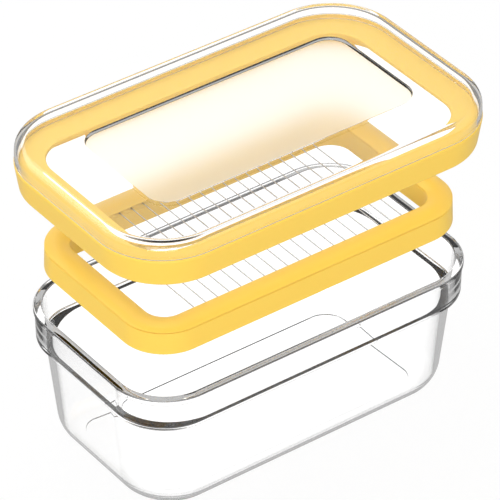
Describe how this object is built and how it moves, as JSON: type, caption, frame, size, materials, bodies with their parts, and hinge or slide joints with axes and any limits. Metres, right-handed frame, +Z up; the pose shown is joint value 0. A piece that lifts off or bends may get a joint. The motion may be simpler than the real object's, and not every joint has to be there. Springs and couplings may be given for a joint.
{
  "type": "wire butter slicer",
  "caption": "Rectangular clear butter tub with a lift-out yellow cutting frame strung with fine parallel wires, and a lid of a yellow ring and a clear top.",
  "frame": {"origin": "centre of the tub's flat base", "axes": "+Z up, +X along the long side, -Y towards the front"},
  "size_m": [0.1884, 0.1146, 0.1508],
  "materials": {
    "tub_clear": "clear, polished",
    "lid_clear": "clear, polished, with a frosted panel",
    "yellow_plastic": "satin, moulded",
    "wire_steel": "bright drawn"
  },
  "bodies": {
    "base": {"tub": "tub_clear"},
    "cutter": {"cutter_frame": "yellow_plastic", "wire_clamp_ring": "yellow_plastic", "wire_01": "wire_steel", "wire_02": "wire_steel", "wire_03": "wire_steel", "wire_04": "wire_steel", "wire_05": "wire_steel", "wire_06": "wire_steel", "wire_07": "wire_steel", "wire_08": "wire_steel", "wire_09": "wire_steel", "wire_10": "wire_steel", "wire_11": "wire_steel", "wire_12": "wire_steel", "wire_13": "wire_steel", "wire_14": "wire_steel", "wire_15": "wire_steel", "wire_16": "wire_steel", "wire_17": "wire_steel", "wire_18": "wire_steel", "wire_19": "wire_steel"},
    "lid": {"lid_ring": "yellow_plastic", "lid_shell": "lid_clear"}
  },
  "joints": [
    {"name": "cutter_lift", "type": "slide", "parent": "base", "child": "cutter", "axis": [0, 0, 1], "range_m": [-0.0363, 0]},
    {"name": "lid_lift", "type": "slide", "parent": "cutter", "child": "lid", "axis": [0, 0, 1], "range_m": [-0.0347, 0]}
  ]
}
